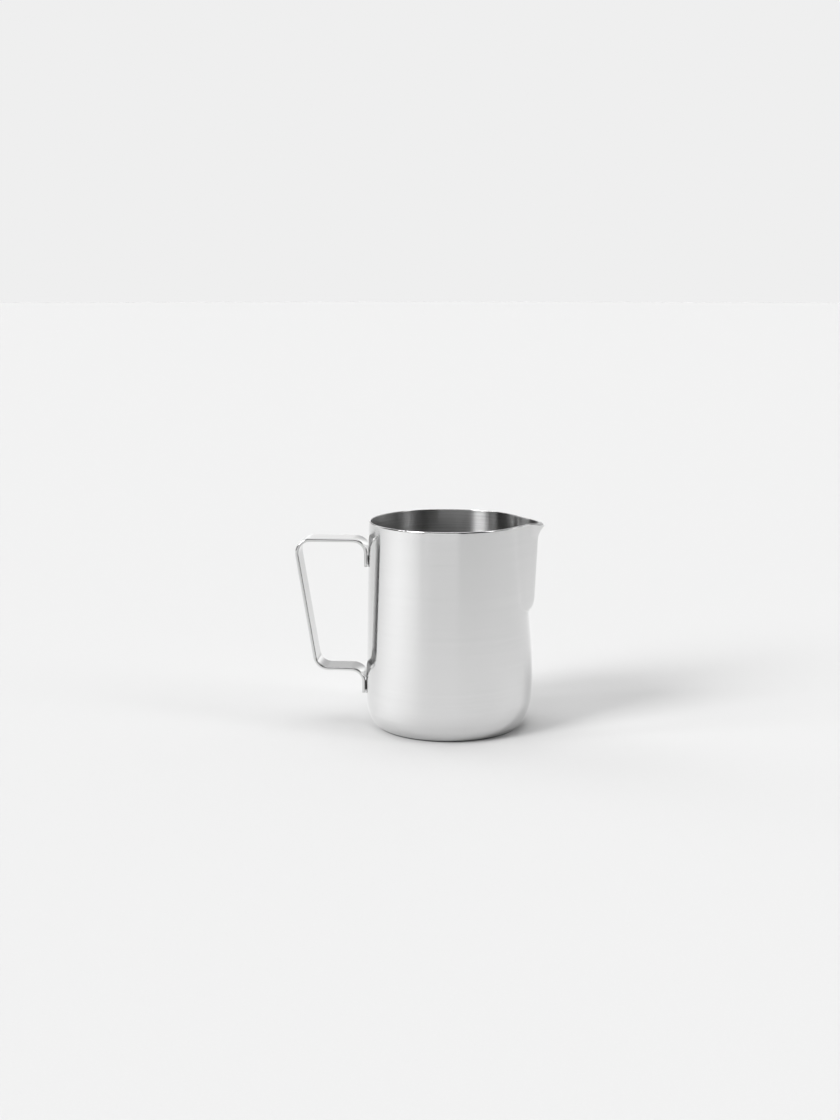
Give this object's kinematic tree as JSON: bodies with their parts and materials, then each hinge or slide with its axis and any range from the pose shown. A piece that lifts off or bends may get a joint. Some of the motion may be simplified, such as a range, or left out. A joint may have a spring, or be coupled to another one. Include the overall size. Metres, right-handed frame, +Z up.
{
  "type": "milk frothing pitcher",
  "caption": "Straight-sided stainless steel jug with a pressed pouring spout and an open bent-strap handle, for steaming and pouring milk.",
  "frame": {"origin": "on the jug's axis, at the centre of the flat base it stands on", "axes": "+Z up along the jug's axis, +X towards the pouring spout, -X towards the handle, +Y to the left of the spout seen from the handle"},
  "size_m": [0.1351, 0.09, 0.1135],
  "materials": {
    "jug_steel": "polished 18/8 stainless steel outside, with a faint horizontal grain, and a horizontally brushed inside",
    "strap_steel": "polished stainless steel strap with rounded edges",
    "weld_steel": "dull resistance-welded stainless steel"
  },
  "bodies": {
    "root": {"jug_body": "jug_steel", "handle_strap": "strap_steel", "spot_weld_upper_left": "weld_steel", "spot_weld_upper_right": "weld_steel", "spot_weld_lower_left": "weld_steel", "spot_weld_lower_right": "weld_steel"}
  },
  "joints": []
}
